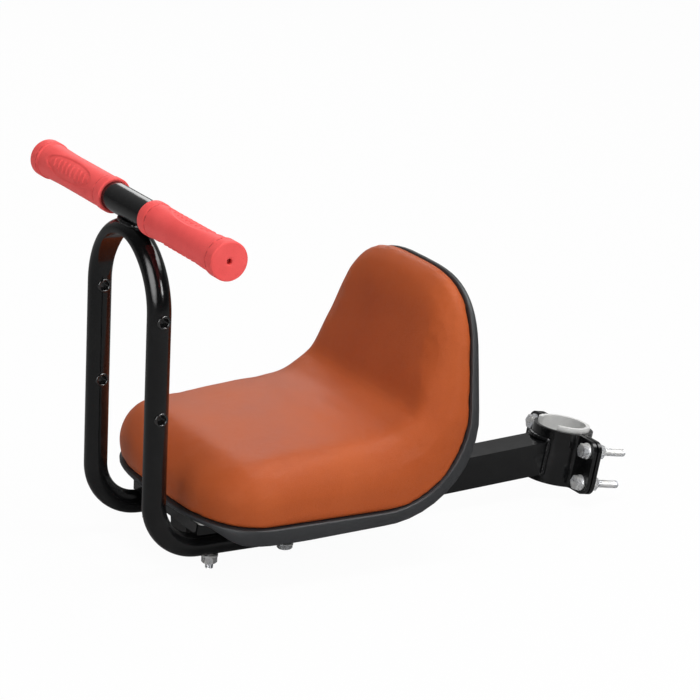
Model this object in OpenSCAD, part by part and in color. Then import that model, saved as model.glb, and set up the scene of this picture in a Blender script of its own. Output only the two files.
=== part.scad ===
// Child bike seat: a padded seat on a moulded shell, a beam with a post clamp behind it,
// and a bent tube hoop with a short handlebar in front of the child.
// Origin: middle of the clamp bore. X to the left of the bike, Y to the rear, Z up.

/* [Seat] */
// Distance from the clamp bore forward to the front edge of the pad
seat_reach = 344; // [335:0.5:365]
// Width of the pad across the seat
seat_w = 204; // [190:1:214]
// Width of the pad near the top of the back
back_w = 146; // [120:1:170]
// Straight length of the seat, front edge to bend
seat_flat = 133; // [124:1:142]
// Straight length of the back, above the bend
back_flat = 93; // [75:1:115]
// Inner radius of the bend between seat and back
bend_r = 68.5; // [60:0.5:76]
// Height of the pad at the front of the seat
pad_rise_front = 35; // [26:1:42]
// Height of the pad in the bend
pad_rise_bend = 48; // [36:1:52]

/* [Shell] */
// Thickness of the shell
pan_t = 2.5; // [2.2:0.1:3.2]
// Reach of the shell past the pad all round
lip = 2.5; // [2:0.1:4]
// Depth of the shell rim at the front corners
skirt_depth = 12; // [9:0.2:16]

/* [Guard hoop] */
// Outer diameter of the hoop tube
hoop_tube_d = 17.2; // [16:0.1:19]
// Distance between the two leg axes
leg_pitch = 97; // [92:1:104]
// Height from the run axis to the top of the arch axis
hoop_h = 221.5; // [200:0.5:240]
// Radius of the tube axis in the bends below the legs
foot_r = 35; // [30:1:40]
// Distance between the two bushes in a leg
bush_pitch = 70.9; // [60:0.1:80]

/* [Handlebar] */
// Outer diameter of the handlebar
bar_d = 21.3; // [20:0.1:24]
// Length of the handlebar tube
bar_len = 286; // [270:1:310]
// Length of a grip, without its closed end
grip_len = 112; // [95:1:118]

/* [Beam and clamp] */
// Outer width of the square beam
beam_w = 25.4; // [22:0.2:28]
// Diameter of the post that the clamp holds
post_d = 33.9; // [30:0.1:34.9]
// Thickness of the rubber liner between clamp and post
liner_t = 3.3; // [2.5:0.1:4.5]
// Plate thickness of the clamp
clamp_t = 3; // [2.5:0.1:4]
// Height of the clamp along the post
clamp_h = 42; // [40:1:50]
// Lean of the post to the rear, degrees
post_lean = 10; // [8:0.5:12]

/* [Hidden] */
$fn = 64;

black_paint = [0.07, 0.07, 0.08];
bright_zinc = [0.72, 0.72, 0.74];
pale_rubber = [0.66, 0.66, 0.64];
grip_red = [0.85, 0.27, 0.25];

// Clearances
pad_gap = 0.3;
slip = 0.05;
over = 1;

// Fasteners
bolt_d = 6;
hole_d = bolt_d + 0.6;
hex_af = 10;
head_t = 4;
nut_t = 5;
thin_nut_t = 3;
washer_t = 1.6;
washer_d = 12.4;
thread_pitch = 1;
thread_depth = 0.45;

// Seat levels and outline
pan_top_z = 15;
seat_front_y = -seat_reach;
back_lean = 7.1;
turn_end = 90 - back_lean;
bend_len = bend_r * turn_end * PI / 180;
seat_len = seat_flat + bend_len + back_flat;
bend_end = seat_flat + bend_len;
front_corner = 50;
front_power = 2.8;
top_corner = 56;
top_power = 3.3;
waist_w = 0.97 * seat_w;
pad_top_rise = 14;
pad_back_rise = pad_rise_bend - 17;
pad_crown = 6;
pad_side_round = 21.6;
pad_end_round = 30;
pad_bulge = 3.2;

// Layers under the seat
pan_under_z = pan_top_z - pan_t;
packing_t = 6.2;
flat_t = 8;
flat_w = 25.4;
flat_past_bolt = 5.5;
flat_len = leg_pitch + 2 * flat_past_bolt;
run_top_z = pan_under_z - packing_t - flat_t;
run_z = run_top_z - hoop_tube_d / 2;

// Hoop
hoop_to_seat = 26;
hoop_y = seat_front_y - hoop_to_seat;
hoop_wall = 1.5;
run_len = 117.5;
run_end_y = hoop_y + run_len;
arch_r = leg_pitch / 2;
arch_z = run_z + hoop_h - arch_r;
bush_d = 10;
bush_stand = 0.4;
bush_rise = 100.1;
arch_press = 7.6;
bush_low_z = run_z + bush_rise;
plug_t = 3;
plug_depth = 12;

// Handlebar and grips
bar_wall = 1.8;
bar_seat = 1.3;
bar_back = 1.9;
bar_y = hoop_y + bar_back;
bar_z = arch_z + arch_r + sqrt(pow((hoop_tube_d + bar_d) / 2 - bar_seat, 2) - bar_back * bar_back);
grip_wall = 1.7;
collar_wall = 2.3;
grip_end_t = 4;
grip_d = bar_d + 2 * grip_wall;
flange_d = grip_d + 3.2;
flange_len = 11;

// Beam
beam_wall = 2;
beam_pitch = 3;
// Depth of the shallow seats in the beam for the two crossbars
dress = 0.1;
hoop_to_front_bar = 45.5;
run_end_to_rear_bar = 22;
bolt_to_run_end = 11;
front_bar_y = hoop_y + hoop_to_front_bar;
rear_bar_y = run_end_y + run_end_to_rear_bar;
leg_bolt_y = run_end_y - bolt_to_run_end;
rear_bolt_x = 38;
rear_past_bolt = 11;
beam_front_y = front_bar_y + 2;
beam_half_z = beam_w / 2 / cos(beam_pitch);
beam_z0 = run_top_z + dress - beam_half_z - tan(beam_pitch) * beam_front_y;
rear_bar_z = beam_z0 + beam_half_z + tan(beam_pitch) * (rear_bar_y - flat_w / 2) - dress;
rear_pack_t = pan_under_z - rear_bar_z - flat_t;

// Clamp
saddle_r = post_d / 2 + liner_t;
clamp_r = saddle_r + clamp_t;
ear_bolt_x = clamp_r + 14;
ear_half = ear_bolt_x + 9;
ear_corner = 8;
ear_bend_r = 3;
bolt_pitch = 25.4;
clamp_gap = 1.5;
front_ear_y = 2.6;
rear_ear_y = front_ear_y + clamp_gap;
liner_open = 41.5;
liner_stand = 3.5;
thread_out = 20.5;

// Seat surface: straight, one bend, then a straight that leans back. s runs along it.
function turned(s) = min(max(s - seat_flat, 0), bend_len) / bend_r * 180 / PI;
function past_bend(s) = max(s - bend_end, 0);
function base_y(s) = seat_front_y + min(s, seat_flat) + bend_r * sin(turned(s))
    + past_bend(s) * cos(turn_end);
function base_z(s) = pan_top_z + bend_r * (1 - cos(turned(s))) + past_bend(s) * sin(turn_end);
function on_base(x, s, up) = [x, base_y(s) - up * sin(turned(s)), base_z(s) + up * cos(turned(s))];

// Half width of the pad at s, without its rounded corners
function side_w(s) = lookup(s, [[0, seat_w / 2], [seat_flat, seat_w / 2],
    [bend_end, waist_w / 2], [seat_len, back_w / 2]]);
function rounded(q, p) = pow(1 - pow(min(max(q, 0), 1), p), 1 / p);
function pad_half_w(s) = side_w(s) * rounded((front_corner - s) / front_corner, front_power)
    * rounded((s - seat_len + top_corner) / top_corner, top_power);

// Height of the pad above its base, mixed over a short length so that it has no kinks
function rise_at(s) = lookup(s, [[0, pad_rise_front], [seat_flat, pad_rise_bend],
    [bend_end, pad_back_rise], [seat_len, pad_top_rise]]);
function mixed_rise(s) = (rise_at(s - 24) + rise_at(s - 12) + rise_at(s) + rise_at(s + 12) + rise_at(s + 24)) / 5;
function edge_round(q) = sqrt(1 - pow(1 - min(max(q, 0), 1), 2));
function pad_edge(s, u) = edge_round(pad_half_w(s) * (1 - abs(u)) / pad_side_round)
    * edge_round(min(s, seat_len - s) / pad_end_round);
function pad_point(s, u) =
    let (edge = pad_edge(s, u),
        swell = pad_bulge * sin(180 * edge),
        front = max(0, 1 - s / front_corner),
        top = max(0, 1 - (seat_len - s) / top_corner))
    on_base(pad_half_w(s) * u * (1 + 2 * swell / seat_w), s + swell * (top - front),
        pad_gap + edge * (mixed_rise(s) + pad_crown * (1 - u * u)));

// One moulded cushion, seat and back in one
pad_rows = 46;
pad_cols = 22;
function pad_s(i) = seat_len * (1 - cos(180 * i / pad_rows)) / 2;
function pad_u(j) = sin(90 * (2 * j / pad_cols - 1));
function pad_id(i, j) = 1 + (i - 1) * (pad_cols + 1) + j;

module seat_pad() {
    last = pad_id(pad_rows, 0);
    points = [
        on_base(0, 0, pad_gap),
        for (i = [1 : pad_rows - 1], j = [0 : pad_cols])
            pad_point(pad_s(i), pad_u(j)),
        on_base(0, seat_len, pad_gap)
    ];
    top_faces = [
        for (i = [1 : pad_rows - 2], j = [0 : pad_cols - 1])
            each [[pad_id(i, j), pad_id(i + 1, j), pad_id(i + 1, j + 1)],
                [pad_id(i, j), pad_id(i + 1, j + 1), pad_id(i, j + 1)]]
    ];
    end_faces = [
        for (j = [0 : pad_cols - 1])
            each [[0, pad_id(1, j), pad_id(1, j + 1)],
                [last, pad_id(pad_rows - 1, j + 1), pad_id(pad_rows - 1, j)]]
    ];
    base_faces = [
        [0, pad_id(1, pad_cols), pad_id(1, 0)],
        [last, pad_id(pad_rows - 1, 0), pad_id(pad_rows - 1, pad_cols)],
        for (i = [1 : pad_rows - 2])
            [pad_id(i, 0), pad_id(i, pad_cols), pad_id(i + 1, pad_cols), pad_id(i + 1, 0)]
    ];
    color([0.72, 0.36, 0.2])
        polyhedron(points, concat(top_faces, end_faces, base_faces));
}

// Shell outline: stations from the front middle round the +X side to the top middle
end_steps = 14;
side_steps = 22;
stations = 2 * end_steps + side_steps;
function station_turn(i) = i <= end_steps ? 90 * (1 - i / end_steps)
    : i >= end_steps + side_steps ? 90 * (i - end_steps - side_steps) / end_steps : 0;
function station_s(i, grow) =
    i <= end_steps
        ? front_corner - (front_corner + grow) * pow(sin(station_turn(i)), 2 / front_power)
    : i >= end_steps + side_steps
        ? seat_len - top_corner + (top_corner + grow) * pow(sin(station_turn(i)), 2 / top_power)
    : front_corner + (seat_len - top_corner - front_corner) * (i - end_steps) / side_steps;
function station_x(i, grow) = (side_w(station_s(i, 0)) + grow)
    * pow(cos(station_turn(i)), 2 / (i <= end_steps ? front_power : top_power));

// Depth of the rim: thin in front of the crossbar, deep at the corners, less up the back
rim_min = 3.6;
rim_start_x = 0.35 * seat_w;
rim_full_x = 0.49 * seat_w;
function ease(q) = let (c = min(max(q, 0), 1)) c * c * (3 - 2 * c);
function side_depth(s) = lookup(s, [[0, skirt_depth], [seat_flat * 0.5, skirt_depth],
    [seat_flat, skirt_depth * 0.8], [bend_end - 30, skirt_depth * 0.75], [bend_end, skirt_depth * 0.55],
    [seat_len - top_corner, skirt_depth * 0.45], [seat_len, rim_min]]);
function rim_depth(i) =
    let (s = station_s(i, 0),
        start = i < end_steps ? ease((station_x(i, lip) - rim_start_x) / (rim_full_x - rim_start_x)) : 1)
    max(rim_min, rim_min + (side_depth(s) - rim_min) * start);

// Rings of the shell section, each a growth past the pad and a depth below the pan
rim_round = 1.1;
rim_wall = 2.4;
rim_draft = 0.06;
RINGS = 8;
function ring_grow(r, k) =
    r == 0 ? lip - rim_round
    : r == 1 ? lip - rim_round * 0.3
    : r == 2 ? lip
    : r == 3 ? lip - rim_draft * k
    : r == 4 ? lip - rim_draft * k - 0.5
    : r == 5 ? lip - rim_draft * k - rim_wall + 0.4
    : r == 6 ? lip - rim_wall - 0.2
    : lip - rim_wall - 1.2;
function ring_down(r, k) =
    r == 0 ? 0
    : r == 1 ? rim_round * 0.3
    : r == 2 ? rim_round
    : r == 3 ? k - 0.5
    : r == 4 ? k
    : r == 5 ? k
    : r == 6 ? pan_t + (k > rim_min + 0.5 ? 0.9 : 0.2)
    : pan_t;
ring_count = 2 * stations;
function ring_id(r, i) = r * ring_count + i;
function ring_point(r, i) =
    let (near = i <= stations,
        t = near ? i : ring_count - i,
        k = rim_depth(t),
        g = ring_grow(r, k))
    on_base((near ? 1 : -1) * station_x(t, g), station_s(t, g), -ring_down(r, k));
function pan_faces(r) = [
    [ring_id(r, 0), ring_id(r, 1), ring_id(r, ring_count - 1)],
    for (i = [1 : stations - 2])
        [ring_id(r, i), ring_id(r, i + 1), ring_id(r, ring_count - i - 1), ring_id(r, ring_count - i)],
    [ring_id(r, stations - 1), ring_id(r, stations), ring_id(r, stations + 1)]
];
function flipped(faces) = [for (f = faces) [for (k = [len(f) - 1 : -1 : 0]) f[k]]];

module shell_blank() {
    points = [for (r = [0 : RINGS - 1], i = [0 : ring_count - 1]) ring_point(r, i)];
    wall_faces = [
        for (r = [0 : RINGS - 2], i = [0 : ring_count - 1])
            let (n = (i + 1) % ring_count)
            each [[ring_id(r, i), ring_id(r + 1, n), ring_id(r + 1, i)],
                [ring_id(r, i), ring_id(r, n), ring_id(r + 1, n)]]
    ];
    polyhedron(points, concat(flipped(pan_faces(0)), wall_faces, pan_faces(RINGS - 1)));
}

// The places of the six bolts that hold the shell
module at_seat_bolts() {
    for (side = [-1, 1]) {
        translate([side * leg_pitch / 2, front_bar_y, 0]) children();
        translate([side * leg_pitch / 2, leg_bolt_y, 0]) children();
        translate([side * rear_bolt_x, rear_bar_y, 0]) children();
    }
}

module countersink(play) {
    translate([0, 0, pan_under_z])
        cylinder(d1 = bolt_d + play, d2 = bolt_d + 2 * pan_t + play, h = pan_t);
}

module seat_shell() {
    color(black_paint)
        difference() {
            shell_blank();
            at_seat_bolts() {
                translate([0, 0, pan_under_z - over])
                    cylinder(d = hole_d, h = pan_t + 2 * over);
                countersink(0.1);
                translate([0, 0, pan_top_z])
                    cylinder(d = bolt_d + 2 * pan_t + 0.1, h = over);
            }
        }
}

// Beam: square tube, pitched up to the clamp and cut to fit round it
module clamp_frame() {
    rotate([-post_lean, 0, 0]) children();
}

module beam_frame() {
    translate([0, 0, beam_z0]) rotate([beam_pitch, 0, 0]) children();
}

module square_rod(w, front, rear) {
    translate([-w / 2, front, -w / 2]) cube([w, rear - front, w]);
}

beam_front = beam_front_y / cos(beam_pitch);
beam_rear = -clamp_r / 2;

module main_beam() {
    color(black_paint)
        difference() {
            beam_frame()
                difference() {
                    square_rod(beam_w, beam_front, beam_rear);
                    square_rod(beam_w - 2 * beam_wall, beam_front - over, beam_rear + over);
                }
            clamp_frame() cylinder(r = clamp_r, h = 2 * clamp_h, center = true);
            translate([-beam_w, beam_front_y - flat_w, run_top_z])
                cube([2 * beam_w, flat_w * 1.5 - 2, flat_t]);
            translate([-beam_w, rear_bar_y - flat_w / 2, rear_bar_z])
                cube([2 * beam_w, flat_w, flat_t]);
        }
}

module beam_plug() {
    inner = beam_w - 2 * beam_wall;
    color([0.1, 0.1, 0.1])
        difference() {
            beam_frame() {
                square_rod(inner - 0.2, beam_front, beam_front + plug_depth);
                translate([-beam_w / 2, beam_front - plug_t, -beam_w / 2])
                    cube([beam_w, plug_t, beam_w - 1.2]);
            }
            beam_frame() square_rod(inner - 4, beam_front + over, beam_front + plug_depth + over);
        }
}

// Where the edges of the beam meet the clamp plate, in the frame of the clamp
joint_y = -sqrt(clamp_r * clamp_r - beam_w * beam_w / 4);
function joint_z(side) =
    let (z = beam_z0 + tan(beam_pitch) * joint_y + side * beam_half_z)
    (z + joint_y * sin(post_lean)) / cos(post_lean);
bead_r = 3.4;
bead_stop = 0.4;

// Four weld beads round the joint: two arcs on the clamp, two straight runs beside the beam
module bead_arc(side) {
    sweep = asin((beam_w / 2 - bead_stop) / clamp_r);
    difference() {
        clamp_frame()
            translate([0, 0, joint_z(side)])
                rotate([0, 0, 270 - sweep])
                    rotate_extrude(angle = 2 * sweep)
                        difference() {
                            translate([clamp_r, 0]) circle(r = bead_r);
                            translate([clamp_r - 2 * bead_r, -bead_r]) square(2 * bead_r);
                        }
        beam_frame() square_rod(beam_w, beam_front, beam_rear + over);
    }
}

module bead_run(side) {
    half = beam_w / 2;
    clamp_frame()
        translate([0, 0, joint_z(-1) + bead_r])
            linear_extrude(joint_z(1) - joint_z(-1) - 2 * bead_r)
                scale([side, 1])
                    difference() {
                        translate([half, joint_y]) circle(r = bead_r);
                        circle(r = clamp_r);
                        translate([half - 2 * bead_r, joint_y - bead_r]) square(2 * bead_r);
                    }
}

module beam_weld() {
    color(black_paint)
        for (side = [-1, 1]) {
            bead_arc(side);
            bead_run(side);
        }
}

// Clamp halves: bent plates. The section is drawn along the post.
module bend_fillet(face_y) {
    reach = clamp_r + ear_bend_r;
    cy = face_y + ear_bend_r;
    cx = sqrt(reach * reach - cy * cy);
    for (side = [-1, 1])
        scale([side, 1])
            difference() {
                polygon([[cx, face_y], [cx, cy], [cx, cy] * clamp_r / reach,
                    [sqrt(clamp_r * clamp_r - face_y * face_y) - over, face_y]]);
                translate([cx, cy]) circle(r = ear_bend_r);
            }
}

module ear_blank(y_from) {
    translate([0, y_from + clamp_t, 0])
        rotate([90, 0, 0])
            linear_extrude(clamp_t)
                difference() {
                    square([2 * ear_half, clamp_h], center = true);
                    for (sx = [-1, 1], sz = [-1, 1])
                        translate([sx * (ear_half - ear_corner), sz * (clamp_h / 2 - ear_corner)])
                            difference() {
                                translate([sx > 0 ? 0 : -ear_corner - over, sz > 0 ? 0 : -ear_corner - over])
                                    square(ear_corner + over);
                                circle(r = ear_corner);
                            }
                    for (sx = [-1, 1], sz = [-1, 1])
                        translate([sx * ear_bolt_x, sz * bolt_pitch / 2]) circle(d = hole_d);
                }
}

module clamp_front() {
    color(black_paint)
        clamp_frame()
            difference() {
                union() {
                    ear_blank(front_ear_y - clamp_t);
                    translate([0, 0, -clamp_h / 2])
                        linear_extrude(clamp_h) {
                            intersection() {
                                circle(r = clamp_r);
                                translate([-clamp_r, -clamp_r])
                                    square([2 * clamp_r, clamp_r + front_ear_y]);
                            }
                            scale([1, -1]) bend_fillet(clamp_t - front_ear_y);
                        }
                }
                cylinder(r = saddle_r, h = clamp_h + 2 * over, center = true);
            }
}

module clamp_rear() {
    color(black_paint)
        clamp_frame()
            difference() {
                union() {
                    ear_blank(rear_ear_y);
                    translate([0, 0, -clamp_h / 2])
                        linear_extrude(clamp_h) {
                            intersection() {
                                circle(r = clamp_r);
                                translate([-clamp_r, rear_ear_y]) square([2 * clamp_r, clamp_r]);
                            }
                            bend_fillet(rear_ear_y + clamp_t);
                        }
                }
                cylinder(r = saddle_r, h = clamp_h + 2 * over, center = true);
            }
}

module post_liner() {
    color(pale_rubber)
        clamp_frame()
            translate([0, 0, -clamp_h / 2])
                rotate([0, 0, liner_open - 90])
                    rotate_extrude(angle = 360 - 2 * liner_open)
                        translate([post_d / 2, 0])
                            square([liner_t - slip, clamp_h + liner_stand]);
}

// Fasteners
module hex(t) {
    cylinder(d = hex_af / cos(30), h = t, $fn = 6);
}

module at_clamp_bolts() {
    clamp_frame()
        for (sx = [-1, 1], sz = [-1, 1])
            translate([sx * ear_bolt_x, 0, sz * bolt_pitch / 2])
                rotate([-90, 0, 0])
                    children();
}

// Rod with thread ridges over its last part, from z = 0 up
module threaded_rod(length, thread_len) {
    turns = floor(thread_len / thread_pitch);
    ridges = [
        for (k = [0 : turns - 1])
            let (z = length - (turns - k) * thread_pitch)
            each [[bolt_d / 2, z], [bolt_d / 2 - thread_depth, z + thread_pitch / 2]]
    ];
    rotate_extrude($fn = 32)
        polygon(concat([[0, 0], [bolt_d / 2, 0]], ridges, [[bolt_d / 2 - 0.2, length], [0, length]]));
}

clamp_bolt_seat = front_ear_y - clamp_t - washer_t;
clamp_nut_seat = rear_ear_y + clamp_t + washer_t;
clamp_bolt_end = clamp_nut_seat + nut_t + thread_out;

module clamp_bolts() {
    color(bright_zinc)
        at_clamp_bolts() {
            translate([0, 0, clamp_bolt_seat - head_t]) hex(head_t);
            translate([0, 0, clamp_bolt_seat])
                threaded_rod(clamp_bolt_end - clamp_bolt_seat, thread_out + nut_t + 1);
        }
}

module washer() {
    difference() {
        cylinder(d = washer_d, h = washer_t);
        translate([0, 0, -over]) cylinder(d = hole_d, h = washer_t + 2 * over);
    }
}

module nut(t = nut_t) {
    difference() {
        intersection() {
            hex(t);
            translate([0, 0, -4 * t]) cylinder(d1 = hex_af + 18 * t, d2 = hex_af, h = 5 * t);
        }
        translate([0, 0, -over]) cylinder(d = bolt_d + 2 * slip, h = t + 2 * over);
    }
}

module clamp_washers() {
    color(bright_zinc)
        at_clamp_bolts() {
            translate([0, 0, clamp_bolt_seat]) washer();
            translate([0, 0, clamp_nut_seat - washer_t]) washer();
        }
}

module clamp_nuts() {
    color(bright_zinc)
        at_clamp_bolts()
            translate([0, 0, clamp_nut_seat]) nut();
}

// Hoop: an arch, two legs, two bends and two runs, all one tube
module hoop_path(d) {
    translate([0, hoop_y, arch_z])
        rotate([90, 0, 0])
            rotate_extrude(angle = 180)
                translate([arch_r, 0]) circle(d = d);
    for (side = [-1, 1])
        translate([side * arch_r, 0, 0]) {
            translate([0, hoop_y, run_z + foot_r]) cylinder(d = d, h = arch_z - run_z - foot_r);
            translate([0, hoop_y + foot_r, run_z + foot_r])
                rotate([0, 90, 0])
                    rotate([0, 0, -90])
                        rotate_extrude(angle = 90)
                            translate([foot_r, 0]) circle(d = d);
            translate([0, hoop_y + foot_r, run_z])
                rotate([-90, 0, 0]) cylinder(d = d, h = run_end_y - hoop_y - foot_r);
        }
}

module at_bushes() {
    for (side = [-1, 1], k = [0, 1])
        translate([side * arch_r, hoop_y, bush_low_z + k * bush_pitch])
            rotate([0, 90, 0])
                children();
}

bush_len = hoop_tube_d + 2 * bush_stand;

// The arch is pressed flat from inside, most at its top
module pressed_path(d, wall) {
    difference() {
        hoop_path(d);
        translate([0, hoop_y, arch_z + arch_press])
            rotate([90, 0, 0])
                cylinder(r = arch_r - hoop_tube_d / 2 + wall, h = 2 * hoop_tube_d, center = true, $fn = 96);
    }
}

module guard_hoop() {
    color(black_paint)
        difference() {
            pressed_path(hoop_tube_d, 0);
            pressed_path(hoop_tube_d - 2 * hoop_wall, hoop_wall);
            for (side = [-1, 1])
                translate([side * arch_r, run_end_y - over, run_z])
                    rotate([-90, 0, 0])
                        cylinder(d = hoop_tube_d - 2 * hoop_wall, h = 2 * over);
            translate([-arch_r, bar_y, bar_z])
                rotate([0, 90, 0])
                    cylinder(d = bar_d, h = leg_pitch);
            at_bushes() cylinder(d = bush_d + 2 * slip, h = bush_len, center = true);
            for (side = [-1, 1], y = [front_bar_y, leg_bolt_y])
                translate([side * arch_r, y, run_z - hoop_tube_d])
                    cylinder(d = hole_d, h = 2 * hoop_tube_d);
        }
}

module hoop_bushes() {
    color(black_paint)
        at_bushes()
            difference() {
                cylinder(d = bush_d, h = bush_len, center = true);
                cylinder(d = hole_d, h = bush_len + 2 * over, center = true);
                for (end = [-1, 1])
                    scale([1, 1, end])
                        translate([0, 0, bush_len / 2 - 1])
                            cylinder(d1 = hole_d, d2 = hole_d + 2, h = 1 + slip);
            }
}

module leg_plugs() {
    inner = hoop_tube_d - 2 * hoop_wall - 0.2;
    color([0.1, 0.1, 0.1])
        for (side = [-1, 1])
            translate([side * arch_r, run_end_y, run_z])
                rotate([-90, 0, 0]) {
                    cylinder(d = hoop_tube_d, h = plug_t - 1);
                    translate([0, 0, plug_t - 1]) cylinder(d1 = hoop_tube_d, d2 = hoop_tube_d - 3, h = 1);
                    translate([0, 0, 1 - plug_t]) cylinder(d = inner, h = plug_t);
                }
}

// Handlebar and grips
module along_x() {
    translate([0, bar_y, bar_z]) rotate([0, 90, 0]) children();
}

module handlebar() {
    color(black_paint)
        along_x()
            difference() {
                cylinder(d = bar_d, h = bar_len, center = true);
                cylinder(d = bar_d - 2 * bar_wall, h = bar_len + 2 * over, center = true);
            }
}

module bar_weld() {
    bead = 3;
    reach = 13;
    color(black_paint)
        difference() {
            for (side = [-1, 1], k = [-3 : 3])
                translate([k * reach / 3, hoop_y + bar_back / 2 + side * 6.2,
                        arch_z + sqrt(arch_r * arch_r - pow(k * reach / 3, 2)) + hoop_tube_d / 2 + 0.2])
                    sphere(r = bead, $fn = 24);
            along_x() cylinder(d = bar_d, h = bar_len, center = true);
            hoop_path(hoop_tube_d);
        }
}

// Grip turned about the bar: inner collar, body, a groove, an end flange and a closed end
grip_from = bar_len / 2 - grip_len;
grip_to = bar_len / 2 + grip_end_t;

module grip() {
    body_r = grip_d / 2;
    collar_r = bar_d / 2 + collar_wall;
    wide_r = flange_d / 2;
    collar_len = 9;
    collar_end = grip_from + collar_len;
    flange_start = grip_to - flange_len;
    groove = 2;
    edge = 1;
    color(grip_red)
        rotate_extrude()
            polygon([
                [bar_d / 2 + slip, grip_from],
                [collar_r - edge, grip_from],
                [collar_r, grip_from + edge],
                [collar_r, collar_end],
                [body_r - edge, collar_end + edge],
                [body_r - edge, collar_end + groove],
                [body_r, collar_end + groove + edge],
                [body_r, flange_start - 3 * flange_len],
                [collar_r, flange_start - groove],
                [collar_r - edge, flange_start - edge],
                [collar_r - edge, flange_start],
                [wide_r - edge, flange_start],
                [wide_r, flange_start + edge],
                [wide_r, grip_to - edge],
                [wide_r - edge, grip_to],
                [2, grip_to],
                [2, bar_len / 2 + slip],
                [bar_d / 2 + slip, bar_len / 2 + slip]
            ]);
}

module left_grip() {
    along_x() grip();
}

module right_grip() {
    along_x() rotate([180, 0, 0]) grip();
}

// Flat bars and packings across the seat
module flat_strip(length, w, t, hole_x) {
    difference() {
        union() {
            translate([-length / 2 + 3, -w / 2, 0]) cube([length - 6, w, t]);
            for (side = [-1, 1]) {
                translate([side * (length / 2 - 3), 0, t / 2]) cube([6, w - 6, t], center = true);
                for (end = [-1, 1])
                    translate([side * (length / 2 - 3), end * (w / 2 - 3), 0]) cylinder(r = 3, h = t);
            }
        }
        for (side = [-1, 1])
            translate([side * hole_x, 0, -over]) cylinder(d = hole_d, h = t + 2 * over);
    }
}

module front_crossbar() {
    color(black_paint)
        translate([0, front_bar_y, run_top_z]) flat_strip(flat_len, flat_w, flat_t, leg_pitch / 2);
}

module packing_strip() {
    color(pale_rubber)
        translate([0, front_bar_y, run_top_z + flat_t])
            flat_strip(flat_len + 4, flat_w - 2, packing_t, leg_pitch / 2);
}

module rear_crossbar() {
    color(black_paint)
        translate([0, rear_bar_y, rear_bar_z]) flat_strip(2 * (rear_bolt_x + rear_past_bolt), flat_w, flat_t, rear_bolt_x);
}

module rear_packing() {
    color(pale_rubber)
        translate([0, rear_bar_y, rear_bar_z + flat_t])
            flat_strip(2 * (rear_bolt_x + rear_past_bolt) - 4, flat_w - 4, rear_pack_t, rear_bolt_x);
}

module leg_spacers() {
    sink = 2;
    spacer_d = 15;
    color([0.12, 0.12, 0.12])
        difference() {
            for (side = [-1, 1])
                translate([side * arch_r, leg_bolt_y, run_top_z - sink])
                    difference() {
                        cylinder(d = spacer_d, h = pan_under_z - run_top_z + sink);
                        translate([0, 0, -over])
                            cylinder(d = hole_d, h = pan_under_z - run_top_z + sink + 2 * over);
                    }
            hoop_path(hoop_tube_d);
        }
}

// Countersunk bolts through the shell, washers and nuts below
run_nut_z = run_top_z - hoop_tube_d - washer_t - nut_t;
rear_nut_z = rear_bar_z - washer_t - nut_t;

module at_pair(x, y, z) {
    for (side = [-1, 1])
        translate([side * x, y, z]) children();
}

module seat_bolt(nut_z, out) {
    end_z = nut_z - out;
    countersink(0);
    translate([0, 0, pan_under_z])
        rotate([180, 0, 0]) threaded_rod(pan_under_z - end_z, out + nut_t + 1);
}

module seat_bolts() {
    color(bright_zinc) {
        at_pair(arch_r, front_bar_y, 0) seat_bolt(run_nut_z, 4);
        at_pair(arch_r, leg_bolt_y, 0) seat_bolt(run_nut_z + nut_t - thin_nut_t, 0.5);
        at_pair(rear_bolt_x, rear_bar_y, 0) seat_bolt(rear_nut_z, 3);
    }
}

module seat_washers() {
    color(bright_zinc) {
        at_pair(arch_r, front_bar_y, run_nut_z + nut_t) washer();
        at_pair(arch_r, leg_bolt_y, run_nut_z + nut_t) washer();
        at_pair(rear_bolt_x, rear_bar_y, rear_nut_z + nut_t) washer();
    }
}

module seat_nuts() {
    color(bright_zinc) {
        at_pair(arch_r, front_bar_y, run_nut_z + nut_t) rotate([180, 0, 0]) nut();
        at_pair(arch_r, leg_bolt_y, run_nut_z + nut_t) rotate([180, 0, 0]) nut(thin_nut_t);
        at_pair(rear_bolt_x, rear_bar_y, rear_nut_z + nut_t) rotate([180, 0, 0]) nut();
    }
}

seat_pad();
seat_shell();
main_beam();
beam_plug();
beam_weld();
clamp_front();
clamp_rear();
post_liner();
clamp_bolts();
clamp_washers();
clamp_nuts();
guard_hoop();
hoop_bushes();
leg_plugs();
handlebar();
bar_weld();
left_grip();
right_grip();
front_crossbar();
packing_strip();
rear_crossbar();
rear_packing();
leg_spacers();
seat_bolts();
seat_washers();
seat_nuts();
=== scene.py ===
"""Looks of the child bike seat: leather pad, moulded shell, painted tubes, rubber grips, zinc plate."""

import math

import bpy
from mathutils import Matrix, Vector, noise


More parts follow.
